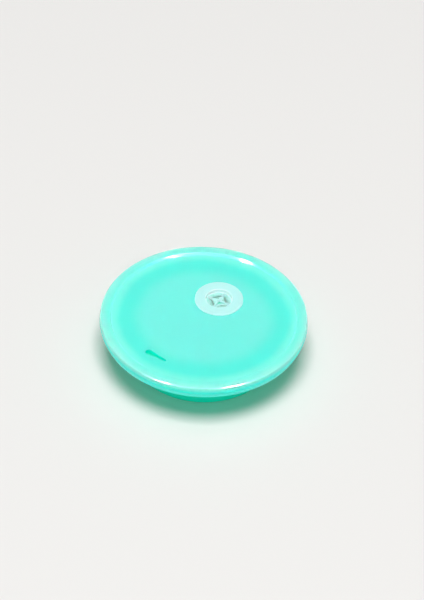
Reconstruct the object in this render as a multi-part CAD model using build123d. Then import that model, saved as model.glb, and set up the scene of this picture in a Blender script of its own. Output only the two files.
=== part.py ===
from build123d import *
import math
import os

# A collapsible travel cup, folded flat with its straw lid on. Lengths are millimetres, angles are degrees.
# Four stiff silicone tiers nest inside each other. A thin folding wall joins each tier to the next: folded,
# it runs up between them, and as the cup is drawn out it turns inside out and runs down. The top tier is
# moulded into a hard collar, which takes the lid. The lid has a silicone straw valve and a drinking slot.
# +Z is up, the origin is the centre of the foot on the table, and the straw valve lies towards +Y.

# Whole cup
LID_RADIUS = 45.0
FOLDED_HEIGHT = 21.5
FOOT_RADIUS = 31.5

# Silicone walls
TIER_WALL = 1.5
FOLD_WALL = 0.7
TIER_PITCH = 3.1
TIER_DRAFT = 0.4
MOUTH_TIER_RADIUS = 40.2
FOLD_END = 0.65
FOLD_OUTER_CORNER = 0.8
FOLD_INNER_CORNER = 0.2
FOLD_LOW = (12.8, 10.0, 7.2)
FOLD_HIGH = (17.9, 17.6, 17.3)
FOLD_NAMES = ("upper_fold", "middle_fold", "lower_fold")
TIER_NAMES = ("upper_band", "lower_band")

# Base
FLOOR_UNDERSIDE = 2.0
FLOOR_THICKNESS = 1.6
FOOT_RING_WIDTH = 2.6
FOOT_CORNER = 0.9
FLOOR_CORNER = 3.0
BASE_DISC_THICKNESS = 1.4
BASE_DISC_GAP = 0.15
BASE_DISC_RIB_RADIUS = 16.0
BASE_DISC_RIB_DEPTH = 0.35
BASE_DISC_RIB_CREST = 1.2
BASE_DISC_RIB_ROOT = 2.0

# Collar
COLLAR_RADIUS = 42.35
COLLAR_LOW = 15.2
COLLAR_HIGH = 18.9
COLLAR_BEAD_RADIUS = 42.7
COLLAR_BEAD_LOW = 16.9
COLLAR_BEAD_HIGH = 17.8
COLLAR_BEAD_RAMP = 0.5
COLLAR_KEY_DEPTH = 0.5
COLLAR_KEY_LOW = 16.0
COLLAR_KEY_HIGH = 16.9
LEDGE_RADIUS = 42.0
LEDGE_THICKNESS = 0.8
LEDGE_DRAFT = 0.3

# Lid
LID_SKIRT = 5.65
LID_SKIRT_FOOT_RADIUS = 43.95
LID_SKIRT_INNER_RADIUS = 43.15
LID_SNAP_RADIUS = 42.95
LID_SNAP_RISE = 0.4
LID_SNAP_HEIGHT = 0.5
LID_WIDEST_HEIGHT = 18.7
LID_WIDEST_ROUND = 2.0
LID_RECESS = 0.9
LID_PLATE = 1.6
RIM_FOOT_RADIUS = 40.0
RIM_CREST_RADIUS = 40.4
RIM_FILLET = 0.6
RIM_CREST_FILLET = 0.5
RIM_FOOT_FILLET = 0.35
RIM_DRAFT = 0.5
SEAL_RADIUS = 42.6
SEAL_WIDTH = 2.9
SEAL_THICKNESS = 0.85
SEAL_SIDE_GAP = 0.05
SEAL_LEAD_IN = 0.5

# Drinking slot: a teardrop that runs round the lid, turned a little so that its tip lies nearer the centre
SLOT_RADIUS = 31.4
SLOT_ANGLE = 258.7
SLOT_TURN = 5.0
SLOT_LENGTH = 10.4
SLOT_BLUNT_END = 1.4
SLOT_TIP = 0.45
SLOT_EDGE = 0.3

# Straw valve
VALVE_OFFSET = 13.6
VALVE_FLANGE_RADIUS = 10.5
VALVE_FLANGE_THICKNESS = 0.9
VALVE_SEAT_DEPTH = 0.5
VALVE_SEAT_GAP = 0.1
VALVE_NECK_RADIUS = 8.1
VALVE_KEEPER_RADIUS = 9.3
VALVE_KEEPER_THICKNESS = 0.8
VALVE_KEEPER_TAPER = 0.5
VALVE_NECK_GAP = 0.05
VALVE_BORE_RADIUS = 5.7
VALVE_BORE_DEPTH = 1.7
MEMBRANE = 0.6
SLIT_END = 5.2
SLIT_WIDTH = 0.3
FLAP_HINGE_GAP = 0.1
FLAP_HALF_WIDTH = 2.6
FLAP_SIDE_GAP = 0.1
FLAP_DROOP = (4.0, 4.0, 6.0, 24.0)

PLATE_TOP = FOLDED_HEIGHT - LID_RECESS
PLATE_UNDERSIDE = PLATE_TOP - LID_PLATE
SKIRT_FOOT = FOLDED_HEIGHT - LID_SKIRT
RIM_UNDERSIDE = FOLDED_HEIGHT - LID_PLATE
VALVE_TOP = PLATE_TOP - VALVE_SEAT_DEPTH + VALVE_FLANGE_THICKNESS
MEMBRANE_TOP = VALVE_TOP - VALVE_BORE_DEPTH
MEMBRANE_UNDERSIDE = MEMBRANE_TOP - MEMBRANE
FLAP_HINGE = SLIT_END * math.cos(math.pi / 4) - FLAP_HINGE_GAP / 2
FLAP_TIP = SLIT_WIDTH / math.sqrt(2)


def turned(profile):
    """A solid of revolution about Z from a closed profile of (radius, height, corner radius)."""
    points = [(radius, height) for radius, height, corner in profile]
    corners = [corner for radius, height, corner in profile]
    outline = Plane.XZ * FilletPolyline(*points, radius=corners, close=True)
    return revolve(make_face(outline), Axis.Z)


def tier_radius(tier):
    """The mid-wall radius at the top of a tier, counted from 0 at the mouth."""
    return MOUTH_TIER_RADIUS - TIER_PITCH * tier


def fold(index):
    """The thin folding wall between a tier and the next smaller one: down, inward, up, inward and down."""
    half = FOLD_WALL / 2
    outer = tier_radius(index) - TIER_DRAFT
    inner = tier_radius(index + 1)
    web = (outer + inner) / 2
    low, high = FOLD_LOW[index], FOLD_HIGH[index]
    return turned([
        (outer + half, low + FOLD_END, 0),
        (outer + half, low - half, FOLD_OUTER_CORNER),
        (web - half, low - half, FOLD_OUTER_CORNER),
        (web - half, high - half, FOLD_INNER_CORNER),
        (inner + half, high - half, FOLD_INNER_CORNER),
        (inner + half, high - FOLD_END, 0),
        (inner - half, high - FOLD_END, 0),
        (inner - half, high + half, FOLD_OUTER_CORNER),
        (web + half, high + half, FOLD_OUTER_CORNER),
        (web + half, low + half, FOLD_INNER_CORNER),
        (outer - half, low + half, FOLD_INNER_CORNER),
        (outer - half, low + FOLD_END, 0),
    ])


def tier(index):
    """A thick silicone band between two folds, thinned at each end to the thickness of the fold."""
    half, thin = TIER_WALL / 2, FOLD_WALL / 2
    taper = half - thin
    top_radius, low_radius = tier_radius(index), tier_radius(index) - TIER_DRAFT
    top, low = FOLD_HIGH[index - 1] - FOLD_END, FOLD_LOW[index] + FOLD_END
    return turned([
        (top_radius + thin, top, 0),
        (top_radius + half, top - taper, TIER_DRAFT),
        (low_radius + half, low + taper, TIER_DRAFT),
        (low_radius + thin, low, 0),
        (low_radius - thin, low, 0),
        (low_radius - half, low + taper, TIER_DRAFT),
        (top_radius - half, top - taper, TIER_DRAFT),
        (top_radius - thin, top, 0),
    ])


def mouth_band():
    """The top tier: a silicone lip inside the hard collar, keyed into it and carrying it on a ledge."""
    half, thin = TIER_WALL / 2, FOLD_WALL / 2
    taper = half - thin
    outer, inner = tier_radius(0) + half, tier_radius(0) - half
    low_radius, low = tier_radius(0) - TIER_DRAFT, FOLD_LOW[0] + FOLD_END
    ledge_low = COLLAR_LOW - LEDGE_THICKNESS
    return turned([
        (inner, COLLAR_HIGH, 0.5),
        (outer, COLLAR_HIGH, 0),
        (outer, COLLAR_KEY_HIGH, 0),
        (outer + COLLAR_KEY_DEPTH, COLLAR_KEY_HIGH, 0),
        (outer + COLLAR_KEY_DEPTH, COLLAR_KEY_LOW, 0),
        (outer, COLLAR_KEY_LOW, 0),
        (outer, COLLAR_LOW, 0),
        (LEDGE_RADIUS, COLLAR_LOW, 0),
        (LEDGE_RADIUS, ledge_low, 0.35),
        (low_radius + half, ledge_low - LEDGE_DRAFT, 0.2),
        (low_radius + thin, low, 0),
        (low_radius - thin, low, 0),
        (low_radius - half, low + taper, 0.3),
    ])


def mouth_collar():
    """The hard ring round the mouth, with a rounded bead that the lid presses over."""
    inner = tier_radius(0) + TIER_WALL / 2
    return turned([
        (inner, COLLAR_LOW, 0),
        (COLLAR_RADIUS, COLLAR_LOW, 0.3),
        (COLLAR_RADIUS, COLLAR_BEAD_LOW - COLLAR_BEAD_RAMP, 0.3),
        (COLLAR_BEAD_RADIUS, COLLAR_BEAD_LOW, 0.25),
        (COLLAR_BEAD_RADIUS, COLLAR_BEAD_HIGH, 0.3),
        (COLLAR_RADIUS, COLLAR_HIGH, 0.3),
        (inner, COLLAR_HIGH, 0),
        (inner, COLLAR_KEY_HIGH, 0),
        (inner + COLLAR_KEY_DEPTH, COLLAR_KEY_HIGH, 0),
        (inner + COLLAR_KEY_DEPTH, COLLAR_KEY_LOW, 0),
        (inner, COLLAR_KEY_LOW, 0),
    ])


def base_cup():
    """The smallest tier with the cup's floor. A foot ring round its underside stands on the table."""
    half, thin = TIER_WALL / 2, FOLD_WALL / 2
    top_radius = tier_radius(3)
    top = FOLD_HIGH[2] - FOLD_END
    taper = half - thin
    floor_top = FLOOR_UNDERSIDE + FLOOR_THICKNESS
    inner_low_radius = FOOT_RADIUS - TIER_WALL
    foot_inner = FOOT_RADIUS - FOOT_RING_WIDTH
    return turned([
        (0, FLOOR_UNDERSIDE, 0),
        (foot_inner, FLOOR_UNDERSIDE, 0),
        (foot_inner, 0, 0.3),
        (FOOT_RADIUS, 0, FOOT_CORNER),
        (top_radius + half, top - taper, TIER_DRAFT),
        (top_radius + thin, top, 0),
        (top_radius - thin, top, 0),
        (top_radius - half, top - taper, TIER_DRAFT),
        (inner_low_radius, floor_top, FLOOR_CORNER),
        (0, floor_top, 0),
    ])


def base_disc():
    """The hard disc bonded into the foot, which keeps the floor flat. A shallow rib stiffens it."""
    radius = FOOT_RADIUS - FOOT_RING_WIDTH - BASE_DISC_GAP
    low = FLOOR_UNDERSIDE - BASE_DISC_THICKNESS
    rib = BASE_DISC_RIB_RADIUS
    crest, root = BASE_DISC_RIB_CREST / 2, BASE_DISC_RIB_ROOT / 2
    return turned([
        (0, low, 0),
        (rib - root, low, 0.2),
        (rib - crest, low - BASE_DISC_RIB_DEPTH, 0.15),
        (rib + crest, low - BASE_DISC_RIB_DEPTH, 0.15),
        (rib + root, low, 0.2),
        (radius, low, 0.35),
        (radius, FLOOR_UNDERSIDE, 0),
        (0, FLOOR_UNDERSIDE, 0),
    ])


def drinking_slot():
    """The cutter for the drinking slot, blunt at one end and narrow at the other."""
    blunt = Pos(SLOT_BLUNT_END - SLOT_LENGTH / 2, 0) * Circle(SLOT_BLUNT_END)
    tip = Pos(SLOT_LENGTH / 2 - SLOT_TIP, 0) * Circle(SLOT_TIP)
    cutter = extrude(make_hull(blunt.edges() + tip.edges()), amount=LID_PLATE + 2)
    middle = Rot(0, 0, SLOT_ANGLE) * Pos(SLOT_RADIUS, 0, PLATE_UNDERSIDE - 1)
    return middle * Rot(0, 0, 90 + SLOT_TURN) * cutter


def lid_shell():
    """The lid: a recessed plate inside a broad raised rim, with a skirt that presses over the collar."""
    seal_outer = SEAL_RADIUS + SEAL_SIDE_GAP
    seal_inner = SEAL_RADIUS - SEAL_WIDTH - SEAL_SIDE_GAP
    snap_low = SKIRT_FOOT + LID_SNAP_RISE
    snap_high = snap_low + LID_SNAP_HEIGHT
    shell = turned([
        (0, PLATE_TOP, 0),
        (RIM_FOOT_RADIUS, PLATE_TOP, RIM_FOOT_FILLET),
        (RIM_CREST_RADIUS, FOLDED_HEIGHT, RIM_CREST_FILLET),
        (LID_RADIUS - RIM_DRAFT, FOLDED_HEIGHT, RIM_FILLET),
        (LID_RADIUS, LID_WIDEST_HEIGHT, LID_WIDEST_ROUND),
        (LID_SKIRT_FOOT_RADIUS, SKIRT_FOOT, 0.35),
        (LID_SKIRT_INNER_RADIUS, SKIRT_FOOT, 0.3),
        (LID_SNAP_RADIUS, snap_low, 0.2),
        (LID_SNAP_RADIUS, snap_high, 0.2),
        (LID_SKIRT_INNER_RADIUS, snap_high + LID_SNAP_HEIGHT, 0.2),
        (LID_SKIRT_INNER_RADIUS, RIM_UNDERSIDE - SEAL_LEAD_IN, 0),
        (seal_outer, RIM_UNDERSIDE, 0),
        (seal_inner, RIM_UNDERSIDE, 0),
        (seal_inner, PLATE_UNDERSIDE, 0.2),
        (0, PLATE_UNDERSIDE, 0),
    ])
    seat_radius = VALVE_FLANGE_RADIUS + VALVE_SEAT_GAP
    seat = Pos(0, VALVE_OFFSET, PLATE_TOP) * Cylinder(seat_radius, 2 * VALVE_SEAT_DEPTH)
    hole = Pos(0, VALVE_OFFSET, PLATE_TOP) * Cylinder(VALVE_NECK_RADIUS, 3 * LID_PLATE)
    lid = shell - seat - hole - drinking_slot()
    slot_rims = [
        edge for edge in lid.edges().filter_by_position(Axis.Z, PLATE_TOP, PLATE_TOP)
        if edge.center().Y < -SLOT_RADIUS / 2 and edge.length < SLOT_LENGTH
    ]
    return fillet(slot_rims, SLOT_EDGE)


def lid_seal():
    """The flat silicone ring in the channel under the lid's rim, which seals the lid on the collar."""
    inner = SEAL_RADIUS - SEAL_WIDTH
    low = RIM_UNDERSIDE - SEAL_THICKNESS
    return turned([
        (inner, low, 0.25),
        (SEAL_RADIUS, low, 0.25),
        (SEAL_RADIUS, RIM_UNDERSIDE, 0),
        (inner, RIM_UNDERSIDE, 0),
    ])


def flap_outline(clearance):
    """A flap pointing back along X at the valve's centre, or with clearance the window that it closes."""
    root = FLAP_HINGE - FLAP_HINGE_GAP / 2 + clearance
    side = FLAP_HALF_WIDTH + clearance
    return make_face(Polyline(
        (FLAP_TIP, 0),
        (FLAP_TIP + side, side),
        (root, side),
        (root, -side),
        (FLAP_TIP + side, -side),
        close=True,
    ))


def straw_valve():
    """The silicone grommet in the lid: a broad flange, a neck, a keeper flange and a thin slit membrane."""
    seat = PLATE_TOP - VALVE_SEAT_DEPTH
    keeper_low = PLATE_UNDERSIDE - VALVE_KEEPER_THICKNESS
    neck = VALVE_NECK_RADIUS - VALVE_NECK_GAP
    grommet = turned([
        (0, MEMBRANE_TOP, 0),
        (VALVE_BORE_RADIUS, MEMBRANE_TOP, 0.2),
        (VALVE_BORE_RADIUS, VALVE_TOP, 0),
        (VALVE_FLANGE_RADIUS, VALVE_TOP, 0.35),
        (VALVE_FLANGE_RADIUS, seat, 0),
        (neck, seat, 0),
        (neck, PLATE_UNDERSIDE, 0),
        (VALVE_KEEPER_RADIUS, PLATE_UNDERSIDE, 0),
        (VALVE_KEEPER_RADIUS - VALVE_KEEPER_TAPER, keeper_low, 0.3),
        (VALVE_BORE_RADIUS, keeper_low, 0.2),
        (VALVE_BORE_RADIUS, MEMBRANE_UNDERSIDE, 0),
        (0, MEMBRANE_UNDERSIDE, 0),
    ])
    slits = Rectangle(2 * SLIT_END, SLIT_WIDTH) + Rectangle(SLIT_WIDTH, 2 * SLIT_END)
    window = extrude(flap_outline(FLAP_SIDE_GAP), amount=MEMBRANE + 2)
    openings = extrude(slits, amount=MEMBRANE + 2)
    for index in range(len(FLAP_DROOP)):
        openings += Rot(0, 0, flap_turn(index)) * window
    return Pos(0, VALVE_OFFSET, 0) * (grommet - Pos(0, 0, MEMBRANE_UNDERSIDE - 1) * openings)


def flap_turn(index):
    """The direction of a flap from the valve's centre. Each lies midway between two arms of the slits."""
    return 45 + 90 * index


def valve_flap(index):
    """One of the four flaps between the crossed slits, drooping a little, as a used flap does."""
    flat = extrude(flap_outline(0), amount=MEMBRANE)
    drooped = Pos(FLAP_HINGE, 0, 0) * Rot(0, -FLAP_DROOP[index], 0) * Pos(-FLAP_HINGE, 0, 0) * flat
    return Pos(0, VALVE_OFFSET, MEMBRANE_UNDERSIDE) * Rot(0, 0, flap_turn(index)) * drooped


def build():
    """Every piece of the cup by the name of its node."""
    parts = {
        "base_cup": base_cup(),
        "base_disc": base_disc(),
        "mouth_band": mouth_band(),
        "mouth_collar": mouth_collar(),
        "lid_shell": lid_shell(),
        "lid_seal": lid_seal(),
        "straw_valve": straw_valve(),
    }
    for index, name in enumerate(FOLD_NAMES):
        parts[name] = fold(index)
    for index, name in enumerate(TIER_NAMES):
        parts[name] = tier(index + 1)
    for index in range(len(FLAP_DROOP)):
        parts[f"valve_flap_{index + 1}"] = valve_flap(index)
    return parts


os.makedirs("parts", exist_ok=True)
for node, solid in build().items():
    export_step(solid, f"parts/{node}.step")
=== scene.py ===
import math
from functools import lru_cache

import bmesh
import bpy
from mathutils import Matrix, Vector


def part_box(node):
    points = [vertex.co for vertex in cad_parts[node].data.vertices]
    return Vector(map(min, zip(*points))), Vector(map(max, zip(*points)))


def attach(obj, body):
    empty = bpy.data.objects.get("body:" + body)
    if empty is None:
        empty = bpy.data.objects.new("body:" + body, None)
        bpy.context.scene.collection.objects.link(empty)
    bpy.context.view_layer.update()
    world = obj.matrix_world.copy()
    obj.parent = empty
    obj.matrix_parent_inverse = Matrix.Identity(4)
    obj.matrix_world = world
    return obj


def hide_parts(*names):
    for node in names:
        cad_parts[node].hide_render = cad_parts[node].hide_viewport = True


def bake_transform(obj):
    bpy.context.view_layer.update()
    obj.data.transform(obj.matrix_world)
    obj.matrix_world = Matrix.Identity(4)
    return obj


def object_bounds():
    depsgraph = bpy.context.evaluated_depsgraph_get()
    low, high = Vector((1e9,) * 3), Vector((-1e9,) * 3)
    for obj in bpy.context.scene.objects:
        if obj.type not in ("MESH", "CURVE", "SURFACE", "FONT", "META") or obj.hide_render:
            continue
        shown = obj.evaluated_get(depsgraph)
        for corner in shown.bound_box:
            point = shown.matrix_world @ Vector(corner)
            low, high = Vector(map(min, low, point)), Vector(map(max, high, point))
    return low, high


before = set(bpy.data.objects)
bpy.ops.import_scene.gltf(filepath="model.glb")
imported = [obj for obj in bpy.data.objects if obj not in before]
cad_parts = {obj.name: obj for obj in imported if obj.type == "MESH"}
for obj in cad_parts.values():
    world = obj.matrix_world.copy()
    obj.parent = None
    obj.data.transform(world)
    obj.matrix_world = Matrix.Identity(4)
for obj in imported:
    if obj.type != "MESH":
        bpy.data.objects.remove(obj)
cad_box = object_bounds()

# The visible pieces of a folding travel cup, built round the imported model. Everything is in metres.
# Each ring is turned from a closed profile whose main radii and heights come from the CAD nodes' boxes.
MM = 0.001
TURNS = 160
ARC_STEP = math.radians(15)
SHARP_ANGLE = math.radians(32)
STRAIGHT_ANGLE = math.pi - 0.01
SAME_POINT = 1e-7
ON_AXIS = 1e-7
SAME_POINT_AFTER_CUT = 2e-6
SHORTEST_EDGE = 1e-6
CUT_BEYOND = 1 * MM

# Corner radii of the edges that no dimension below names
HAIR_EDGE = 0.1 * MM
CRISP_EDGE = 0.15 * MM
FINE_EDGE = 0.2 * MM
LIGHT_EDGE = 0.25 * MM
SOFT_EDGE = 0.3 * MM
BROAD_EDGE = 0.35 * MM
LIP_EDGE = 0.5 * MM

# Silicone walls
HALF_WALL = 0.75 * MM
HALF_FOLD = 0.35 * MM
FOLD_END = 0.65 * MM
FOLD_LIP = 0.6 * MM
FOLD_OVERLAP = 0.05 * MM
FOLD_RINGS = 24
TIER_DRAFT = 0.4 * MM
OUTER_CORNER = 0.8 * MM
INNER_CORNER = 0.2 * MM

# Base
FLOOR_THICKNESS = 1.6 * MM
FOOT_GAP = 2.75 * MM
FOOT_RING_WIDTH = 2.6 * MM
FOOT_CORNER = 0.9 * MM
FLOOR_CORNER = 3.0 * MM
DISC_RIB_RADIUS = 16.0 * MM
DISC_RIB_DEPTH = 0.35 * MM
DISC_RIB_HALF_CREST = 0.6 * MM
DISC_RIB_HALF_ROOT = 1.0 * MM

# Collar
COLLAR_BEAD = 0.35 * MM
COLLAR_BEAD_LOW = 2.0 * MM
COLLAR_BEAD_HIGH = 2.9 * MM
COLLAR_BEAD_RAMP = 0.5 * MM
LEDGE_THICKNESS = 0.8 * MM
LEDGE_DRAFT = 0.3 * MM
LIP_TO_COLLAR_GAP = 0.02 * MM

# Lid
LID_TURNS = 192
RIM_FOOT_INSET = 5.0 * MM
RIM_CREST_INSET = 4.6 * MM
RIM_INNER_CORNER = 0.35 * MM
RIM_CREST_CORNER = 0.5 * MM
RIM_CORNER = 0.6 * MM
RIM_DRAFT = 0.5 * MM
WIDEST_DROP = 2.8 * MM
WIDEST_ROUND = 2.0 * MM
LID_RECESS = 0.9 * MM
LID_PLATE = 1.6 * MM
SKIRT_DRAFT = 1.05 * MM
SKIRT_WALL = 0.8 * MM
SNAP_BEAD = 0.2 * MM
SNAP_BEAD_HEIGHTS = (0.4 * MM, 0.9 * MM, 1.4 * MM)
RIM_UNDERSIDE_RAMP = 0.5 * MM
SEAL_WIDTH = 2.9 * MM
SEAL_GAP = 0.05 * MM

# Drinking slot: a teardrop that runs round the lid, turned a little so that its tip lies nearer the centre
SLOT_RADIUS = 31.4 * MM
SLOT_ANGLE = math.radians(258.7)
SLOT_TURN = math.radians(5)
SLOT_LENGTH = 10.4 * MM
SLOT_BLUNT_END = 1.4 * MM
SLOT_TIP = 0.45 * MM
SLOT_EDGE = 0.35 * MM
SLOT_EDGE_STEPS = 6
SLOT_END_STEPS = 12

# Straw valve
VALVE_TURNS = 96
VALVE_BORE = 5.7 * MM
VALVE_NECK = 8.05 * MM
VALVE_NECK_GAP = 0.05 * MM
VALVE_SEAT_DEPTH = 0.5 * MM
VALVE_SEAT_GAP = 0.12 * MM
VALVE_BORE_DEPTH = 1.7 * MM
VALVE_KEEPER = 1.25 * MM
VALVE_KEEPER_TAPER = 0.5 * MM
MEMBRANE = 0.6 * MM
SLIT_CUT_HEIGHT = 0.9 * MM
SLIT_END = 5.2 * MM
SLIT_WIDTH = 0.14 * MM
FLAP_HINGE_GAP = 0.1 * MM
FLAP_HALF_WIDTH = 2.6 * MM
FLAP_SIDE_GAP = 0.1 * MM
FLAP_DROOP = (4, 4, 6, 24)
FLAP_BLUNT = (0, 0, 0, 0.4 * MM)
SLIT_LIP_WIDTH = 0.7 * MM
SLIT_LIP_HEIGHT = 0.3 * MM
SLIT_LIP_FADE = 0.5 * MM
SLIT_LIP_EDGE = 0.12 * MM
SLIT_LIP_GAP = 0.1 * MM
SLIT_LIP_ARC_STEPS = 6
FLAP_SIDE_STEPS = 6
# Across a flap's lip: distance in from the flap's edge, step in height, share of the lip's rise
FLAP_LIP_SECTION = (
    (0, 0, 0),
    (0, -SLIT_LIP_EDGE, 1),
    (0.3 * SLIT_LIP_EDGE, -0.3 * SLIT_LIP_EDGE, 1),
    (SLIT_LIP_EDGE, 0, 1),
    (SLIT_LIP_WIDTH - SLIT_LIP_EDGE, 0, 1),
    (SLIT_LIP_WIDTH, -0.3 * SLIT_LIP_EDGE, 0.8),
    (SLIT_LIP_WIDTH + SLIT_LIP_EDGE, 0, 0.2),
    (SLIT_LIP_WIDTH + 2 * SLIT_LIP_EDGE, 0, 0),
)
# The top rings of a fixed lip, from low to high: the drop below its top, and how far each side draws in
FIXED_LIP_TOP = ((SLIT_LIP_EDGE, 0), (0.03 * MM, 0.04 * MM), (0, SLIT_LIP_EDGE))

# Camera
CAMERA_AZIMUTH = math.radians(27.3)
CAMERA_ELEVATION = math.radians(43.2)
CAMERA_ROLL = math.radians(2.3)
CAMERA_DISTANCE = 1.5
CAMERA_REACH = 20
SENSOR_HEIGHT = 24
FRAME_HEIGHT = 258 * MM
AIM_RIGHT = 3.5 * MM
AIM_UP = 6.9 * MM

# Floor and light. A direction has its parts to the picture's right, towards the camera and up.
FLOOR_HALF_WIDTH = 6
FLOOR_ROUGHNESS = 0.9
ROOM_LIGHT = 0.30
HORIZON_LIGHT = 0.6
HORIZON_TOP = 0.25
LIGHT_DISTANCE = 2.8
CEILING_DIRECTION = (0.0, 0.2, 0.98)
CEILING_SIZE = (1.25, 1.25)
CEILING_POWER = 80
THROUGH_CUP = (0.0, 0.19, 0.10)
THROUGH_LID = (0.0, 0.7, 0.72)
STRIPS = (
    # direction, (width, length), power
    ((-0.42, 0.2, 0.88), (0.66, 0.4), 1500),
    ((0.305, 0.2, 0.88), (0.58, 0.4), 1800),
)
FILL_DIRECTIONS = ((-0.5, 0.84, -0.3), (0.5, 0.84, -0.3))
FILL_SIZE = (2.4, 0.8)
FILL_POWER = 8
FILL_TINT = (0.2, 1.0, 0.85)

# Colours
LID_CENTRE = (0.152, 0.745, 0.67)
# Painted light and shade on the lid: a darker ring over the tiers under its plate, paler towards and over its
# rim
PAINTED_RING_SHADE = (0.085, 0.735, 0.63)
PAINTED_EDGE_LIGHT = (0.17, 0.77, 0.665)
PAINTED_RIM_LIGHT = (0.26, 0.76, 0.67)
# Painted shade: a deeper teal on the skirt's wall, most towards its foot
PAINTED_WALL_SHADE = (0.012, 0.80, 0.68)
# Painted glow: a deeper, greener teal inside the lid's openings and under its plate
PAINTED_OPENING_GLOW = (0.01, 0.84, 0.72)
LID_PAINTED_ZONES = (
    # where a zone's colour starts and is full, from the lid's axis, and the colour: painted shade over the
    # tiers under the plate, then painted light towards and over the rim
    (24 * MM, 33 * MM, PAINTED_RING_SHADE),
    (35 * MM, 39.5 * MM, PAINTED_EDGE_LIGHT),
    (41 * MM, 44.5 * MM, PAINTED_RIM_LIGHT),
)
LID_ZONE_DRIFT = 4 * MM
# Where the painted shade on the skirt's wall starts and ends, in height and in radius
LID_WALL_HEIGHTS = (18.8 * MM, 21.3 * MM)
LID_WALL_RADII = (42 * MM, 43 * MM)
LID_PLATE_RADII = (38 * MM, 39 * MM)
BODY_TEAL = (0.0, 0.70, 0.52)
BODY_TEAL_LIGHT = (0.003, 0.74, 0.55)
COLLAR_TEAL = (0.05, 0.74, 0.62)
COLLAR_TEAL_LIGHT = (0.06, 0.77, 0.66)
DISC_TEAL = (0.01, 0.62, 0.47)
DISC_TEAL_LIGHT = (0.02, 0.66, 0.52)
VALVE_WHITE = (0.46, 0.79, 0.775)
# Painted shade on the flaps, for the dark inside of the cup under them
VALVE_FLAP_SHADE = (0.32, 0.63, 0.57)
# Painted glow on the bore's wall
VALVE_PAINTED_GLOW = (0.75, 0.98, 0.97)
SEAL_WHITE = (0.55, 0.90, 0.87)
SEAL_WHITE_LIGHT = (0.60, 0.92, 0.90)
FLOOR_PAPER = (0.70, 0.692, 0.678)

# Looks
CUP_GLOW_DEPTH = 1.0 * MM
LID_GLOW_DEPTH = 1.2 * MM
GLOW_TINT = (0.5, 1.0, 0.9)
PLASTIC_IOR = 1.45
COAT_ROUGHNESS = 0.06
GRAIN_DETAIL = 4.0
GRAIN_SPAN = (0.3, 0.7)
GLOSSIER, DULLER = 0.05, 0.06
BUMP_STRENGTH = 0.35
CLOUD_SCALE = 55.0
LID_CLOUD_SCALE = 45.0
# In the valve: how far past a lip the painted shade on the thin skin is full, where inside the bore that
# fades out, how patchy it is, and how far either side of the bore's radius its wall has a painted glow
SHADE_BEYOND_LIP = 0.35 * MM
SHADE_INSIDE_BORE = (0.9 * MM, 0.3 * MM)
MOTTLE_SCALE = 900.0
MOTTLE_SPAN = (0.35, 0.6)
MOTTLE_LEAST = 0.45
BORE_GLOW_SPAN = (0.1 * MM, 0.4 * MM)
# How far under the top of the lid's plate the painted glow inside its openings starts
OPENING_SPAN = (0.3 * MM, 0.1 * MM)


# ---------------------------------------------------------------- profiles and turned meshes

def arc(corner, before, after, radius):
    """Points of a round of the given radius where the lines before-corner and corner-after meet."""
    to_before = (before - corner).normalized()
    to_after = (after - corner).normalized()
    angle = to_before.angle(to_after)
    if radius <= 0 or angle > STRAIGHT_ANGLE:
        return [corner]
    reach = radius / math.tan(angle / 2)
    centre = corner + (to_before + to_after).normalized() * radius / math.sin(angle / 2)
    start = corner + to_before * reach - centre
    end = corner + to_after * reach - centre
    sweep = start.angle_signed(end)
    steps = max(2, round(abs(sweep) / ARC_STEP))
    points = []
    for step in range(steps + 1):
        turn = -sweep * step / steps
        cosine, sine = math.cos(turn), math.sin(turn)
        points.append(centre + Vector((start.x * cosine - start.y * sine, start.x * sine + start.y * cosine)))
    return points


def rounded(profile):
    """A closed outline from (x, y, corner radius) triples, as 2-D points."""
    corners = [Vector((x, y)) for x, y, radius in profile]
    outline = []
    for index, (x, y, radius) in enumerate(profile):
        after = corners[(index + 1) % len(corners)]
        outline += arc(corners[index], corners[index - 1], after, radius)
    return outline


def mesh_object(name, bm):
    """A new object from a bmesh, smooth except across its sharp edges."""
    bmesh.ops.remove_doubles(bm, verts=bm.verts, dist=SAME_POINT)
    bmesh.ops.recalc_face_normals(bm, faces=bm.faces)
    mesh = bpy.data.meshes.new(name)
    bm.to_mesh(mesh)
    bm.free()
    for polygon in mesh.polygons:
        polygon.use_smooth = True
    mesh.set_sharp_from_angle(angle=SHARP_ANGLE)
    piece = bpy.data.objects.new(name, mesh)
    bpy.context.scene.collection.objects.link(piece)
    return piece


def turned(name, profile, centre=(0, 0), turns=TURNS):
    """A piece turned about the upright axis through centre, from (radius, height, corner radius) triples."""
    outline = rounded(profile)
    bm = bmesh.new()
    rings = []
    for turn in range(turns):
        angle = 2 * math.pi * turn / turns
        cosine, sine = math.cos(angle), math.sin(angle)
        rings.append([
            bm.verts.new((centre[0] + point.x * cosine, centre[1] + point.x * sine, point.y))
            for point in outline
        ])
    for turn in range(turns):
        ring, following = rings[turn], rings[(turn + 1) % turns]
        for index in range(len(outline)):
            after = (index + 1) % len(outline)
            if max(outline[index].x, outline[after].x) > ON_AXIS:
                bm.faces.new((ring[index], following[index], following[after], ring[after]))
    return mesh_object(name, bm)


def stacked(name, layers):
    """A closed piece lofted through loops of 3-D points that all have the same count."""
    bm = bmesh.new()
    loops = [[bm.verts.new(point) for point in layer] for layer in layers]
    for lower, upper in zip(loops, loops[1:]):
        for index in range(len(lower)):
            after = (index + 1) % len(lower)
            bm.faces.new((lower[index], lower[after], upper[after], upper[index]))
    bm.faces.new(loops[0][::-1])
    bm.faces.new(loops[-1])
    return mesh_object(name, bm)


def modify(piece, kind, **settings):
    """Applies one modifier to a piece."""
    modifier = piece.modifiers.new("modifier", kind)
    for key, value in settings.items():
        setattr(modifier, key, value)
    bpy.context.view_layer.objects.active = piece
    bpy.ops.object.modifier_apply(modifier=modifier.name)
    return piece


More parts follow.
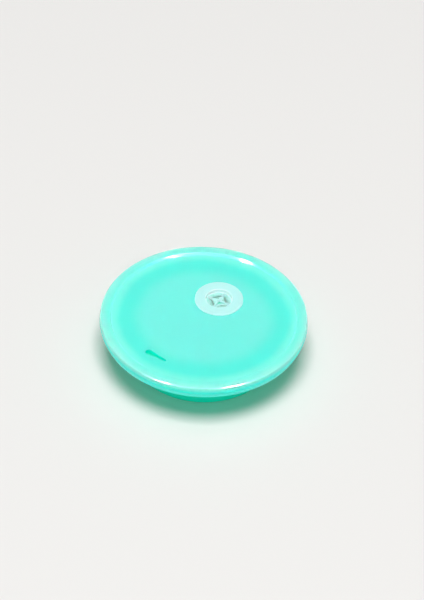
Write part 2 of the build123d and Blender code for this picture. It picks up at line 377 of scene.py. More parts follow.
def cut(piece, *cutters):
    """Takes the cutters out of a piece and removes them."""
    for cutter in cutters:
        modify(piece, "BOOLEAN", operation="DIFFERENCE", solver="EXACT", object=cutter)
        bpy.data.objects.remove(cutter)
    bm = bmesh.new()
    bm.from_mesh(piece.data)
    bmesh.ops.remove_doubles(bm, verts=bm.verts, dist=SAME_POINT_AFTER_CUT)
    bmesh.ops.dissolve_degenerate(bm, dist=SHORTEST_EDGE, edges=bm.edges)
    bmesh.ops.triangulate(bm, faces=[face for face in bm.faces if len(face.verts) > 4])
    bm.to_mesh(piece.data)
    bm.free()
    for polygon in piece.data.polygons:
        polygon.use_smooth = True
    piece.data.set_sharp_from_angle(angle=SHARP_ANGLE)
    return piece


def weighed(piece):
    """Shades broad flat faces flat where they meet small rounds."""
    return modify(piece, "WEIGHTED_NORMAL", keep_sharp=True)


def joined(pieces):
    """Joins pieces into the first one."""
    bm = bmesh.new()
    for piece in pieces:
        bm.from_mesh(piece.data)
    first = pieces[0]
    bm.to_mesh(first.data)
    bm.free()
    for piece in pieces[1:]:
        bpy.data.objects.remove(piece)
    first.data.set_sharp_from_angle(angle=SHARP_ANGLE)
    return first


# ---------------------------------------------------------------- sizes from the CAD nodes

@lru_cache(maxsize=None)
def box_of(node):
    """The lowest and highest corners of a CAD node's box."""
    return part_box(node)


def top_of(node):
    return box_of(node)[1].z


def foot_of(node):
    return box_of(node)[0].z


def radius_of(node):
    return box_of(node)[1].x


# ---------------------------------------------------------------- the silicone body, its collar and its disc

class Fold:
    """The mid-wall lines of a folding wall: its larger and smaller ends, its middle, its foot and its top."""

    def __init__(self, node, smaller_band):
        self.outer = radius_of(node) - HALF_FOLD
        self.inner = radius_of(smaller_band) - HALF_WALL
        self.web = (self.outer + self.inner) / 2
        self.low = foot_of(node) + HALF_FOLD
        self.high = top_of(node) - HALF_FOLD


FOLDS = {
    "upper_fold": Fold("upper_fold", "upper_band"),
    "middle_fold": Fold("middle_fold", "lower_band"),
    "lower_fold": Fold("lower_fold", "base_cup"),
}


def upper_turn(fold):
    """A band's outline at its top: up its inner face, out over the top to the folding wall, and back down.

    It starts on the band's inner face and ends on its outer face.
    """
    taper = HALF_WALL - HALF_FOLD
    end = fold.high - FOLD_END
    return [
        (fold.inner - HALF_WALL, end - taper, TIER_DRAFT),
        (fold.inner - HALF_FOLD, end, 0),
        (fold.inner - HALF_FOLD, fold.high + HALF_FOLD, OUTER_CORNER),
        (fold.web + HALF_FOLD, fold.high + HALF_FOLD, OUTER_CORNER),
        (fold.web + HALF_FOLD, fold.high - FOLD_LIP, 0),
        (fold.web - HALF_FOLD, fold.high - FOLD_LIP, 0),
        (fold.web - HALF_FOLD, fold.high - HALF_FOLD, INNER_CORNER),
        (fold.inner + HALF_FOLD, fold.high - HALF_FOLD, INNER_CORNER),
        (fold.inner + HALF_FOLD, end, 0),
        (fold.inner + HALF_WALL, end - taper, TIER_DRAFT),
    ]


def lower_turn(fold):
    """A band's outline at its foot: down its outer face, in under the foot to the folding wall, and back up.

    It starts on the band's outer face and ends on its inner face.
    """
    taper = HALF_WALL - HALF_FOLD
    end = fold.low + FOLD_END
    return [
        (fold.outer + HALF_WALL, end + taper, TIER_DRAFT),
        (fold.outer + HALF_FOLD, end, 0),
        (fold.outer + HALF_FOLD, fold.low - HALF_FOLD, OUTER_CORNER),
        (fold.web - HALF_FOLD, fold.low - HALF_FOLD, OUTER_CORNER),
        (fold.web - HALF_FOLD, fold.low + FOLD_LIP, 0),
        (fold.web + HALF_FOLD, fold.low + FOLD_LIP, 0),
        (fold.web + HALF_FOLD, fold.low + HALF_FOLD, INNER_CORNER),
        (fold.outer - HALF_FOLD, fold.low + HALF_FOLD, INNER_CORNER),
        (fold.outer - HALF_FOLD, end, 0),
        (fold.outer - HALF_WALL, end + taper, TIER_DRAFT),
    ]


def band(name, fold_above, fold_below):
    return turned(name, upper_turn(fold_above) + lower_turn(fold_below))


def folding_wall(name, fold):
    """The thin wall between two bands, with many rings along its height."""
    low = fold.low + FOLD_LIP - FOLD_OVERLAP
    high = fold.high - FOLD_LIP + FOLD_OVERLAP
    heights = [low + (high - low) * ring / FOLD_RINGS for ring in range(FOLD_RINGS + 1)]
    outside = [(fold.web + HALF_FOLD, height, 0) for height in heights]
    inside = [(fold.web - HALF_FOLD, height, 0) for height in reversed(heights)]
    return turned(name, outside + inside)


def mouth_band(name, fold_below):
    """The silicone lip inside the collar, with the ledge that carries the collar."""
    collar_low, collar_high = foot_of("mouth_collar"), top_of("mouth_collar")
    outer = collar_bore(fold_below) - LIP_TO_COLLAR_GAP
    ledge = radius_of("mouth_band")
    ledge_low = collar_low - LEDGE_THICKNESS
    return turned(name, [
        (outer - 2 * HALF_WALL, collar_high, LIP_EDGE),
        (outer, collar_high, HAIR_EDGE),
        (outer, collar_low, 0),
        (ledge, collar_low, HAIR_EDGE),
        (ledge, ledge_low, BROAD_EDGE),
        (fold_below.outer + HALF_WALL, ledge_low - LEDGE_DRAFT, FINE_EDGE),
    ] + lower_turn(fold_below)[1:])


def base_cup(name, fold_above):
    """The smallest tier, the floor and the foot ring under it."""
    floor_underside = top_of("base_disc")
    floor_top = floor_underside + FLOOR_THICKNESS
    foot = radius_of("base_disc") + FOOT_GAP
    foot_inner = foot - FOOT_RING_WIDTH
    return turned(name, upper_turn(fold_above) + [
        (foot, 0, FOOT_CORNER),
        (foot_inner, 0, SOFT_EDGE),
        (foot_inner, floor_underside, FINE_EDGE),
        (0, floor_underside, 0),
        (0, floor_top, 0),
        (foot - 2 * HALF_WALL, floor_top, FLOOR_CORNER),
    ])


def base_disc(name):
    """The hard disc in the foot, with a shallow rib under it."""
    low, high = box_of("base_disc")
    plate_low = low.z + DISC_RIB_DEPTH
    rib = DISC_RIB_RADIUS
    return turned(name, [
        (0, plate_low, 0),
        (rib - DISC_RIB_HALF_ROOT, plate_low, FINE_EDGE),
        (rib - DISC_RIB_HALF_CREST, low.z, CRISP_EDGE),
        (rib + DISC_RIB_HALF_CREST, low.z, CRISP_EDGE),
        (rib + DISC_RIB_HALF_ROOT, plate_low, FINE_EDGE),
        (high.x, plate_low, BROAD_EDGE),
        (high.x, high.z, 0),
        (0, high.z, 0),
    ])


def collar_bore(fold_below):
    return fold_below.outer + TIER_DRAFT + HALF_WALL


def collar(name):
    """The hard ring round the mouth, with the bead that the lid presses over."""
    low, high = box_of("mouth_collar")
    inner = collar_bore(FOLDS["upper_fold"])
    wall = high.x - COLLAR_BEAD
    return turned(name, [
        (inner, low.z, 0),
        (wall, low.z, SOFT_EDGE),
        (wall, low.z + COLLAR_BEAD_LOW - COLLAR_BEAD_RAMP, SOFT_EDGE),
        (high.x, low.z + COLLAR_BEAD_LOW, LIGHT_EDGE),
        (high.x, low.z + COLLAR_BEAD_HIGH, SOFT_EDGE),
        (wall, high.z, SOFT_EDGE),
        (inner, high.z, CRISP_EDGE),
    ])


# ---------------------------------------------------------------- the lid and its valve

def slot_loop(grow, height):
    """The drinking slot's teardrop outline at one height, grown outward by grow."""
    blunt, tip = SLOT_BLUNT_END + grow, SLOT_TIP + grow
    spread = SLOT_LENGTH - SLOT_BLUNT_END - SLOT_TIP
    lean = math.acos((SLOT_BLUNT_END - SLOT_TIP) / spread)
    blunt_x = SLOT_BLUNT_END - SLOT_LENGTH / 2
    outline = []
    for centre_x, radius, first, last in (
        (blunt_x, blunt, lean, 2 * math.pi - lean),
        (blunt_x + spread, tip, -lean, lean),
    ):
        for step in range(SLOT_END_STEPS + 1):
            angle = first + (last - first) * step / SLOT_END_STEPS
            outline.append((centre_x + radius * math.cos(angle), radius * math.sin(angle)))
    outward = Vector((math.cos(SLOT_ANGLE), math.sin(SLOT_ANGLE), 0))
    middle = outward * SLOT_RADIUS + Vector((0, 0, height))
    lie = SLOT_ANGLE + math.pi / 2 + SLOT_TURN
    onward = Vector((math.cos(lie), math.sin(lie), 0))
    leftward = Vector((-onward.y, onward.x, 0))
    return [middle + onward * along + leftward * aside for along, aside in outline]


def slot_cutter(low, plate_top):
    """The drinking slot with a rounded upper edge."""
    layers = [slot_loop(0, low), slot_loop(0, plate_top - SLOT_EDGE)]
    for step in range(1, SLOT_EDGE_STEPS + 1):
        angle = math.pi / 2 * step / SLOT_EDGE_STEPS
        grow = SLOT_EDGE * (1 - math.cos(angle))
        layers.append(slot_loop(grow, plate_top - SLOT_EDGE * (1 - math.sin(angle))))
    layers.append(slot_loop(SLOT_EDGE, plate_top + CUT_BEYOND))
    return stacked("cutter", layers)


def lid(name):
    """A recessed plate inside a broad raised rim, and the skirt that presses over the collar."""
    low, high = box_of("lid_shell")
    radius = high.x
    plate_top = high.z - LID_RECESS
    plate_low = plate_top - LID_PLATE
    rim_low = high.z - LID_PLATE
    skirt_inner = radius - SKIRT_DRAFT - SKIRT_WALL
    snap = skirt_inner - SNAP_BEAD
    snap_foot, snap_top, snap_end = SNAP_BEAD_HEIGHTS
    seal_outer = radius_of("lid_seal") + SEAL_GAP
    seal_inner = seal_outer - SEAL_WIDTH - 2 * SEAL_GAP
    shell = turned(name, [
        (0, plate_top, 0),
        (radius - RIM_FOOT_INSET, plate_top, RIM_INNER_CORNER),
        (radius - RIM_CREST_INSET, high.z, RIM_CREST_CORNER),
        (radius - RIM_DRAFT, high.z, RIM_CORNER),
        (radius, high.z - WIDEST_DROP, WIDEST_ROUND),
        (radius - SKIRT_DRAFT, low.z, BROAD_EDGE),
        (skirt_inner, low.z, SOFT_EDGE),
        (snap, low.z + snap_foot, FINE_EDGE),
        (snap, low.z + snap_top, FINE_EDGE),
        (skirt_inner, low.z + snap_end, FINE_EDGE),
        (skirt_inner, rim_low - RIM_UNDERSIDE_RAMP, 0),
        (seal_outer, rim_low, 0),
        (seal_inner, rim_low, 0),
        (seal_inner, plate_low, FINE_EDGE),
        (0, plate_low, 0),
    ], turns=LID_TURNS)
    seat = plate_top - VALVE_SEAT_DEPTH
    neck = VALVE_NECK + VALVE_NECK_GAP
    seat_radius = radius_of("straw_valve") + VALVE_SEAT_GAP
    hole = turned("cutter", [
        (0, plate_low - CUT_BEYOND, 0),
        (neck, plate_low - CUT_BEYOND, 0),
        (neck, seat, 0),
        (seat_radius, seat, 0),
        (seat_radius, plate_top + CUT_BEYOND, 0),
        (0, plate_top + CUT_BEYOND, 0),
    ], centre=(0, valve_centre()), turns=VALVE_TURNS)
    return weighed(cut(shell, hole, slot_cutter(plate_low - CUT_BEYOND, plate_top)))


def seal(name):
    """The sealing ring under the rim."""
    low, high = box_of("lid_seal")
    inner = high.x - SEAL_WIDTH
    return turned(name, [
        (inner, low.z, LIGHT_EDGE),
        (high.x, low.z, LIGHT_EDGE),
        (high.x, high.z, 0),
        (inner, high.z, 0),
    ])


def valve_centre():
    low, high = box_of("straw_valve")
    return (low.y + high.y) / 2


def membrane_low():
    return top_of("straw_valve") - VALVE_BORE_DEPTH - MEMBRANE


def flap_hinge():
    """How far a flap's hinge lies from the valve's centre."""
    return SLIT_END * math.cos(math.pi / 4) - FLAP_HINGE_GAP / 2


def flap_corners(clearance, blunt=0.0):
    """A flap that points back along X at the valve's centre, its tip cut off by blunt.

    With clearance it is the window that the flap closes.
    """
    root = flap_hinge() - FLAP_HINGE_GAP / 2 + clearance
    side = FLAP_HALF_WIDTH + clearance
    tip = SLIT_WIDTH / math.sqrt(2)
    nose = [(tip + blunt, blunt), (tip + blunt, -blunt)] if blunt else [(tip, 0)]
    return nose + [(tip + side, -side), (root, -side), (root, side), (tip + side, side)]


def quarter_turned(index, x, y):
    """A point of the valve's plan turned from the X axis to the direction of one flap."""
    turn = math.radians(45 + 90 * index)
    return (
        x * math.cos(turn) - y * math.sin(turn),
        valve_centre() + x * math.sin(turn) + y * math.cos(turn),
    )


def flap_place(index, point):
    """Turns a point of a flat flap to its place in the valve, drooping about its hinge."""
    droop = math.radians(FLAP_DROOP[index])
    along, up = point.x - flap_hinge(), point.z
    x = flap_hinge() + along * math.cos(droop) - up * math.sin(droop)
    z = along * math.sin(droop) + up * math.cos(droop)
    return Vector((*quarter_turned(index, x, point.y), membrane_low() + z))


def inset(corners, distance):
    """A convex outline, anticlockwise, moved inward by distance."""
    moved = []
    for index, corner in enumerate(corners):
        before = (corner - corners[index - 1]).normalized()
        after = (corners[(index + 1) % len(corners)] - corner).normalized()
        inward = Vector((-before.y, before.x)) + Vector((-after.y, after.x))
        moved.append(corner + inward * distance / (1 + before.dot(after)))
    return moved


def subdivided(corners, steps):
    """A closed outline with each side split into steps."""
    return [
        corner.lerp(corners[(index + 1) % len(corners)], step / steps)
        for index, corner in enumerate(corners) for step in range(steps)
    ]


def flap(name, index):
    """One flap of the valve. A rounded lip stands up along its two slit edges and ends at its shoulders."""
    corners = [Vector(corner) for corner in flap_corners(0, FLAP_BLUNT[index])]
    shoulder = corners[-4].x
    layers = []
    for distance, step_up, share in FLAP_LIP_SECTION:
        on_top = MEMBRANE if distance or share else 0
        layer = []
        for point in subdivided(inset(corners, distance), FLAP_SIDE_STEPS):
            fade = min(1, max(0, (shoulder - point.x) / SLIT_LIP_FADE))
            height = on_top + step_up + share * fade * SLIT_LIP_HEIGHT
            layer.append(flap_place(index, Vector((point.x, point.y, height))))
        layers.append(layer)
    return stacked(name, layers)


def prism(corners, low, high):
    """An upright cutter over a plan outline."""
    return stacked("cutter", [[Vector((x, y, height)) for x, y in corners] for height in (low, high)])


def slit_lip(arm, side):
    """The raised lip beside the outer end of one slit, beyond the flaps."""
    middle = side * (SLIT_WIDTH + SLIT_LIP_WIDTH) / 2
    start = FLAP_HALF_WIDTH * math.sqrt(2) + SLIT_LIP_GAP
    low = membrane_low() + MEMBRANE / 2
    top = membrane_low() + MEMBRANE + SLIT_LIP_HEIGHT
    turn = math.pi / 2 * arm
    layers = []
    for height, shrink in [(low, 0)] + [(top - drop, shrink) for drop, shrink in FIXED_LIP_TOP]:
        half = SLIT_LIP_WIDTH / 2 - shrink
        layer = []
        for end, first in ((SLIT_END, -math.pi / 2), (start, math.pi / 2)):
            for step in range(SLIT_LIP_ARC_STEPS + 1):
                angle = first + math.pi * step / SLIT_LIP_ARC_STEPS
                along = end + half * math.cos(angle)
                aside = middle + half * math.sin(angle)
                layer.append(Vector((
                    along * math.cos(turn) - aside * math.sin(turn),
                    valve_centre() + along * math.sin(turn) + aside * math.cos(turn),
                    height,
                )))
        layers.append(layer)
    return stacked("lip", layers)


def straw_valve(name):
    """The grommet: a broad flange, a neck, a keeper under the plate and the slit membrane in its bore."""
    low, high = box_of("straw_valve")
    centre = valve_centre()
    flange = high.x
    seat = top_of("lid_shell") - LID_RECESS - VALVE_SEAT_DEPTH
    plate_low = seat + VALVE_SEAT_DEPTH - LID_PLATE
    skin_low = membrane_low()
    keeper = VALVE_NECK + VALVE_KEEPER
    grommet = turned(name, [
        (0, skin_low + MEMBRANE, 0),
        (VALVE_BORE, skin_low + MEMBRANE, SOFT_EDGE),
        (VALVE_BORE, high.z, BROAD_EDGE),
        (flange, high.z, BROAD_EDGE),
        (flange, seat, 0),
        (VALVE_NECK, seat, 0),
        (VALVE_NECK, plate_low, 0),
        (keeper, plate_low, HAIR_EDGE),
        (keeper - VALVE_KEEPER_TAPER, low.z, SOFT_EDGE),
        (VALVE_BORE, low.z, FINE_EDGE),
        (VALVE_BORE, skin_low, HAIR_EDGE),
        (0, skin_low, 0),
    ], centre=(0, centre), turns=VALVE_TURNS)
    cutters = []
    for index in range(len(FLAP_DROOP)):
        corners = [quarter_turned(index, x, y) for x, y in flap_corners(FLAP_SIDE_GAP)]
        cutters.append(prism(corners, skin_low - CUT_BEYOND, skin_low + CUT_BEYOND))
    half = SLIT_WIDTH / 2
    for long_x, long_y in ((SLIT_END, half), (half, SLIT_END)):
        corners = [
            (-long_x, centre - long_y),
            (long_x, centre - long_y),
            (long_x, centre + long_y),
            (-long_x, centre + long_y),
        ]
        cutters.append(prism(corners, skin_low - SLIT_CUT_HEIGHT, skin_low + SLIT_CUT_HEIGHT))
    cut(grommet, *cutters)
    lips = [slit_lip(arm, side) for arm in range(4) for side in (-1, 1)]
    return weighed(joined([grommet] + lips))


# ---------------------------------------------------------------- materials

class Nodes:
    """The node tree of a material or world, with short calls to add nodes and join them."""

    def __init__(self, owner, shader="Principled BSDF"):
        self.owner = owner
        owner.use_nodes = True
        self.tree = owner.node_tree
        self.shader = self.tree.nodes[shader]

    def add(self, kind, **settings):
        node = self.tree.nodes.new(kind)
        for key, value in settings.items():
            setattr(node, key, value)
        return node

    def feed(self, value, socket):
        """Joins an output to a socket, or sets the socket to a plain value."""
        if hasattr(value, "node"):
            self.tree.links.new(value, socket)
        else:
            socket.default_value = value

    def place(self):
        """Coordinates in the cup's own frame."""
        return self.add("ShaderNodeTexCoord").outputs["Object"]

    def maths(self, operation, first, second=0.0):
        node = self.add("ShaderNodeMath", operation=operation)
        self.feed(first, node.inputs[0])
        self.feed(second, node.inputs[1])
        return node.outputs[0]

    def separate(self, vector):
        node = self.add("ShaderNodeSeparateXYZ")
        self.feed(vector, node.inputs[0])
        return node.outputs

    def radius(self, centre_y=0.0):
        """The distance from the vertical axis through (0, centre_y)."""
        x, y, _ = self.separate(self.place())
        aside = self.maths("SUBTRACT", y, centre_y)
        squares = self.maths("ADD", self.maths("MULTIPLY", x, x), self.maths("MULTIPLY", aside, aside))
        return self.maths("SQRT", squares)

    def ramp(self, value, low, high, start=0.0, end=1.0):
        """Maps value from low..high to start..end, held at the ends and eased between them."""
        node = self.add("ShaderNodeMapRange", interpolation_type="SMOOTHSTEP")
        self.feed(value, node.inputs["Value"])
        ends = {"From Min": low, "From Max": high, "To Min": start, "To Max": end}
        for name, number in ends.items():
            self.feed(number, node.inputs[name])
        return node.outputs["Result"]

    def noise(self, scale, detail=3.0):
        node = self.add("ShaderNodeTexNoise")
        self.feed(self.place(), node.inputs["Vector"])
        self.feed(scale, node.inputs["Scale"])
        self.feed(detail, node.inputs["Detail"])
        return node.outputs["Fac"]

    def mixed(self, share, first, second):
        """A colour between first and second."""
        node = self.add("ShaderNodeMix", data_type="RGBA")
        self.feed(share, node.inputs["Factor"])
        self.feed(first if hasattr(first, "node") else (*first, 1), node.inputs["A"])
        self.feed(second if hasattr(second, "node") else (*second, 1), node.inputs["B"])
        return node.outputs["Result"]


def moulded(nodes, colour, roughness, grain, relief, glow_depth, coat=0.0, specular=0.5):
    """Moulded plastic or silicone: a fine grain in its gloss and surface, and light carried inside it."""
    shader = nodes.shader
    nodes.feed(colour, shader.inputs["Base Color"])
    fine = nodes.noise(grain, GRAIN_DETAIL)
    gloss = nodes.ramp(fine, *GRAIN_SPAN, roughness - GLOSSIER, roughness + DULLER)
    nodes.feed(gloss, shader.inputs["Roughness"])
    bump = nodes.add("ShaderNodeBump")
    nodes.feed(BUMP_STRENGTH, bump.inputs["Strength"])
    nodes.feed(relief, bump.inputs["Distance"])
    nodes.feed(fine, bump.inputs["Height"])
    nodes.feed(bump.outputs["Normal"], shader.inputs["Normal"])
    nodes.feed(1.0, shader.inputs["Subsurface Weight"])
    nodes.feed(GLOW_TINT, shader.inputs["Subsurface Radius"])
    nodes.feed(glow_depth, shader.inputs["Subsurface Scale"])
    nodes.feed(PLASTIC_IOR, shader.inputs["IOR"])
    nodes.feed(specular, shader.inputs["Specular IOR Level"])
    nodes.feed(coat, shader.inputs["Coat Weight"])
    nodes.feed(COAT_ROUGHNESS, shader.inputs["Coat Roughness"])
    return nodes


def cloudy(name, colour, tint, roughness, grain, relief):
    """A moulded look whose colour drifts a little between two near shades."""
    nodes = Nodes(bpy.data.materials.new(name))
    shade = nodes.mixed(nodes.noise(CLOUD_SCALE), colour, tint)
    return moulded(nodes, shade, roughness, grain, relief, CUP_GLOW_DEPTH)


def lid_look():
    """Milky mint plastic, with painted shade over the tiers that lie under the plate and painted light over
    the thick rim.
    """
    nodes = Nodes(bpy.data.materials.new("lid_plastic_look"))
    radius = nodes.radius()
    cloud = nodes.maths("SUBTRACT", nodes.noise(LID_CLOUD_SCALE), 0.5)
    radius = nodes.maths("ADD", radius, nodes.maths("MULTIPLY", cloud, LID_ZONE_DRIFT))
    # Painted shade and light by distance from the axis: the darker ring, then the paler edge and rim
    shade = LID_CENTRE
    for start, end, colour in LID_PAINTED_ZONES:
        shade = nodes.mixed(nodes.ramp(radius, start, end), shade, colour)
    # Painted shade on the skirt's wall, deepest low on the wall and fading out towards the crest
    height = nodes.separate(nodes.place())[2]
    below_crest = nodes.ramp(height, *LID_WALL_HEIGHTS, 1.0, 0.0)
    outside = nodes.ramp(nodes.radius(), *LID_WALL_RADII)
    shade = nodes.mixed(nodes.maths("MULTIPLY", below_crest, outside), shade, PAINTED_WALL_SHADE)
    # Painted glow inside the slot and the valve seat and under the plate, standing in for light through the
    # lid
    plate_top = top_of("lid_shell") - LID_RECESS
    deep, shallow = OPENING_SPAN
    below_plate = nodes.ramp(height, plate_top - deep, plate_top - shallow, 1.0, 0.0)
    on_plate = nodes.ramp(nodes.radius(), *LID_PLATE_RADII, 1.0, 0.0)
    shade = nodes.mixed(nodes.maths("MULTIPLY", below_plate, on_plate), shade, PAINTED_OPENING_GLOW)
    return moulded(
        nodes, shade, roughness=0.3, grain=2600.0, relief=0.02 * MM, glow_depth=LID_GLOW_DEPTH,
        coat=0.9, specular=0.0,
    )


def valve_look():
    """White silicone: painted shade for the dark cup under its thin flaps, between their white lips."""
    nodes = Nodes(bpy.data.materials.new("valve_silicone_look"))
    centre = valve_centre()
    x, y, _ = nodes.separate(nodes.place())
    from_x, from_y = nodes.maths("ABSOLUTE", x), nodes.maths("ABSOLUTE", nodes.maths("SUBTRACT", y, centre))
    from_slit = nodes.maths("MINIMUM", from_x, from_y)
    radius = nodes.radius(centre)
    # Painted shade on the flaps past their lips, inside the bore, in patches
    beyond_lip = nodes.ramp(from_slit, SLIT_LIP_WIDTH, SLIT_LIP_WIDTH + SHADE_BEYOND_LIP)
    far, near = SHADE_INSIDE_BORE
    in_bore = nodes.ramp(radius, VALVE_BORE - far, VALVE_BORE - near, 1.0, 0.0)
    thin = nodes.maths("MULTIPLY", beyond_lip, in_bore)
    patches = nodes.ramp(nodes.noise(MOTTLE_SCALE), *MOTTLE_SPAN, MOTTLE_LEAST, 1.0)
    mottled_shade = nodes.maths("MULTIPLY", thin, patches)
    shade = nodes.mixed(mottled_shade, VALVE_WHITE, VALVE_FLAP_SHADE)
    # Painted glow on the bore's wall, in a thin band about its radius
    near, far = BORE_GLOW_SPAN
    within = nodes.ramp(radius, VALVE_BORE + near, VALVE_BORE + far, 1.0, 0.0)
    beyond = nodes.ramp(radius, VALVE_BORE - far, VALVE_BORE - near)
    shade = nodes.mixed(nodes.maths("MULTIPLY", within, beyond), shade, VALVE_PAINTED_GLOW)
    return moulded(
        nodes, shade, roughness=0.38, grain=3400.0, relief=0.03 * MM, glow_depth=LID_GLOW_DEPTH,
    )


SLOTS = {
    "silicone_body": cloudy(
        "silicone_body_look", BODY_TEAL, BODY_TEAL_LIGHT, roughness=0.42, grain=3400.0, relief=0.05 * MM,
    ),
    "foot_disc": cloudy(
        "foot_disc_look", DISC_TEAL, DISC_TEAL_LIGHT, roughness=0.38, grain=1800.0, relief=0.08 * MM,
    ),
    "collar_plastic": cloudy(
        "collar_look", COLLAR_TEAL, COLLAR_TEAL_LIGHT, roughness=0.3, grain=2600.0, relief=0.04 * MM,
    ),
    "lid_plastic": lid_look(),
    "seal_silicone": cloudy(
        "seal_look", SEAL_WHITE, SEAL_WHITE_LIGHT, roughness=0.45, grain=3400.0, relief=0.04 * MM,
    ),
    "valve_silicone": valve_look(),
}


# ---------------------------------------------------------------- assembly

def finish_with(piece, slot):
    """Gives a piece its look and its material slot."""
    piece.data.materials.clear()
    piece.data.materials.append(SLOTS[slot].owner)


def place(piece, node, body, slot):
    """Puts a piece in its node's stead, on its body."""
    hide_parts(node)
    finish_with(piece, slot)
    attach(piece, body)


def place_fold(node):
    """Puts a folding wall, between the smaller tier at its top and the larger one at its foot, in its node's
    stead; it rides on no body.
    """
    fold = FOLDS[node]
    wall = folding_wall(f"{node}_wall", fold)
    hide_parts(node)
    finish_with(wall, "silicone_body")
    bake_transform(wall)


place(lid("lid"), "lid_shell", "lid", "lid_plastic")
place(seal("lid_sealing_ring"), "lid_seal", "lid", "seal_silicone")
place(straw_valve("straw_grommet"), "straw_valve", "lid", "valve_silicone")
for index in range(len(FLAP_DROOP)):
    number = index + 1
    place(flap(f"straw_flap_{number}", index), f"valve_flap_{number}", f"flap_{number}", "valve_silicone")
place(mouth_band("mouth_lip", FOLDS["upper_fold"]), "mouth_band", "mouth", "silicone_body")
place(collar("collar"), "mouth_collar", "mouth", "collar_plastic")
upper_wall = band("upper_tier_wall", FOLDS["upper_fold"], FOLDS["middle_fold"])
place(upper_wall, "upper_band", "upper_tier", "silicone_body")
lower_wall = band("lower_tier_wall", FOLDS["middle_fold"], FOLDS["lower_fold"])
place(lower_wall, "lower_band", "lower_tier", "silicone_body")
place(base_cup("base_wall", FOLDS["lower_fold"]), "base_cup", "base", "silicone_body")
place(base_disc("foot_disc"), "base_disc", "base", "foot_disc")
place_fold("upper_fold")
place_fold("middle_fold")
place_fold("lower_fold")


# ---------------------------------------------------------------- floor, light and camera

def camera_axes():
    """The directions from the cup to the camera, to the picture's right and to its top, before the roll."""
    level = Vector((math.sin(CAMERA_AZIMUTH), -math.cos(CAMERA_AZIMUTH), 0))
    back = level * math.cos(CAMERA_ELEVATION) + Vector((0, 0, math.sin(CAMERA_ELEVATION)))
    right = Vector((math.cos(CAMERA_AZIMUTH), math.sin(CAMERA_AZIMUTH), 0))
    return back, right, back.cross(right)


def add_camera():
    """The camera, aimed near the centre of the lid and rolled a little."""
    back, right, up = camera_axes()
    cosine, sine = math.cos(CAMERA_ROLL), math.sin(CAMERA_ROLL)
    right, up = right * cosine + up * sine, up * cosine - right * sine
    target = Vector((0, 0, cad_box[1].z)) + right * AIM_RIGHT + up * AIM_UP
    data = bpy.data.cameras.new("camera")
    data.sensor_fit = "VERTICAL"
    data.sensor_height = SENSOR_HEIGHT
    data.lens = SENSOR_HEIGHT * CAMERA_DISTANCE / FRAME_HEIGHT
    data.clip_end = CAMERA_REACH
    camera = bpy.data.objects.new("camera", data)
    bpy.context.scene.collection.objects.link(camera)
    camera.matrix_world = matrix_from(right, up, back, target + back * CAMERA_DISTANCE)
    bpy.context.scene.camera = camera


def matrix_from(x_axis, y_axis, z_axis, origin):
    """The matrix that puts an object at origin, along these axes."""
    columns = [x_axis.to_4d(), y_axis.to_4d(), z_axis.to_4d(), origin.to_4d()]
    for column, last in zip(columns, (0, 0, 0, 1)):
        column.w = last
    return Matrix(columns).transposed()


def softbox(name, direction, size, power, colour=(1, 1, 1)):
    """A soft light that faces the cup, placed by its direction as the camera sees it."""
    to_right, to_camera, to_top = direction
    back, right, _ = camera_axes()
    level = Vector((back.x, back.y, 0)).normalized()
    direction = (right * to_right + level * to_camera + Vector((0, 0, to_top))).normalized()
    data = bpy.data.lights.new(name, "AREA")
    data.shape = "RECTANGLE"
    data.size, data.size_y = size
    data.energy = power
    data.color = colour
    lamp = bpy.data.objects.new(name, data)
    bpy.context.scene.collection.objects.link(lamp)
    width_axis = (right - direction * right.dot(direction)).normalized()
    length_axis = direction.cross(width_axis)
    lamp.matrix_world = matrix_from(width_axis, length_axis, direction, direction * LIGHT_DISTANCE)
    return lamp


def add_floor():
    """A plain pale floor without gloss."""
    bm = bmesh.new()
    bmesh.ops.create_grid(bm, x_segments=1, y_segments=1, size=FLOOR_HALF_WIDTH)
    floor = mesh_object("floor", bm)
    nodes = Nodes(bpy.data.materials.new("floor_paper"))
    nodes.shader.inputs["Base Color"].default_value = (*FLOOR_PAPER, 1)
    nodes.shader.inputs["Roughness"].default_value = FLOOR_ROUGHNESS
    nodes.shader.inputs["Specular IOR Level"].default_value = 0.0
    floor.data.materials.append(nodes.owner)
    return floor


def linked(name, pieces, state="INCLUDE"):
    """A collection that tells a light which pieces to light, to leave out, or to be blocked by."""
    collection = bpy.data.collections.new(name)
    for piece in pieces:
        collection.objects.link(piece)
    for member in collection.collection_objects:
        member.light_linking.link_state = state
    return collection


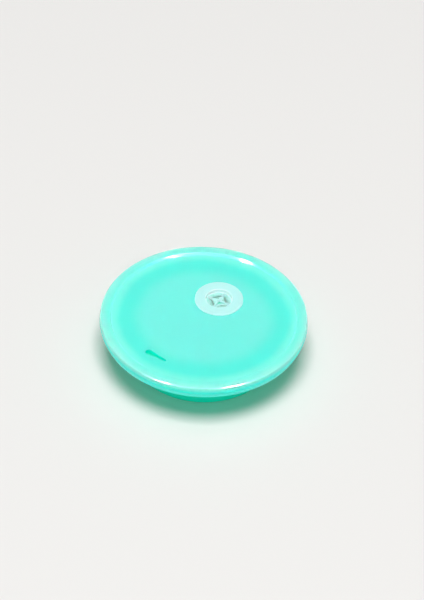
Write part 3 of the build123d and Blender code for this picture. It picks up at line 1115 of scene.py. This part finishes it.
def pieces_in(slot):
    """The pieces that have a slot's look."""
    look = SLOTS[slot].owner.name
    meshes = [piece for piece in bpy.context.scene.objects if piece.type == "MESH"]
    return [piece for piece in meshes if look in piece.data.materials]


def add_room():
    """A pale room that is brightest at the horizon and dimmer overhead, behind the ceiling light."""
    world = bpy.data.worlds.new("studio")
    nodes = Nodes(world, "Background")
    nodes.shader.inputs["Color"].default_value = (1, 1, 1, 1)
    height = nodes.separate(nodes.add("ShaderNodeTexCoord").outputs["Generated"])[2]
    strength = nodes.ramp(height, 0.0, HORIZON_TOP, HORIZON_LIGHT, ROOM_LIGHT)
    nodes.feed(strength, nodes.shader.inputs["Strength"])
    bpy.context.scene.world = world


def add_light(floor):
    """A white ceiling, the light that the translucent cup lets through, highlights and light off the floor.

    The cup holds back only part of the ceiling's light. The teal share that reaches the floor, and the larger
    share that reaches the silicone under the lid, come from ceiling lights that the cup doesn't block. The
    strips show only in the lid's gloss. The fills throw light up, as a pale floor does, and pass through it.
    """
    add_room()
    ceiling = (CEILING_DIRECTION, CEILING_SIZE, CEILING_POWER)
    softbox("ceiling", *ceiling, [1 - share for share in THROUGH_CUP])
    through_cup = softbox("ceiling_through_cup", *ceiling, THROUGH_CUP)
    through_cup.light_linking.blocker_collection = linked("floor_blocks", [floor])
    through_lid = softbox("ceiling_through_lid", *ceiling, THROUGH_LID)
    blockers = [floor, *pieces_in("valve_silicone")]
    through_lid.light_linking.blocker_collection = linked("valve_blocks", blockers)
    through_lid.light_linking.receiver_collection = linked("silicone_under_lid", pieces_in("silicone_body"))
    lid_only = linked("lid_shows_highlights", pieces_in("lid_plastic"))
    for direction, size, power in STRIPS:
        strip = softbox("gloss_strip", direction, size, power)
        strip.visible_diffuse = False
        strip.light_linking.receiver_collection = lid_only
    for direction in FILL_DIRECTIONS:
        fill = softbox("floor_bounce", direction, FILL_SIZE, FILL_POWER, FILL_TINT)
        fill.light_linking.receiver_collection = linked("all_but_floor", [floor], "EXCLUDE")
        fill.light_linking.blocker_collection = linked("floor_passes", [floor], "EXCLUDE")


add_light(add_floor())
add_camera()
bpy.context.scene.view_settings.view_transform = "Standard"
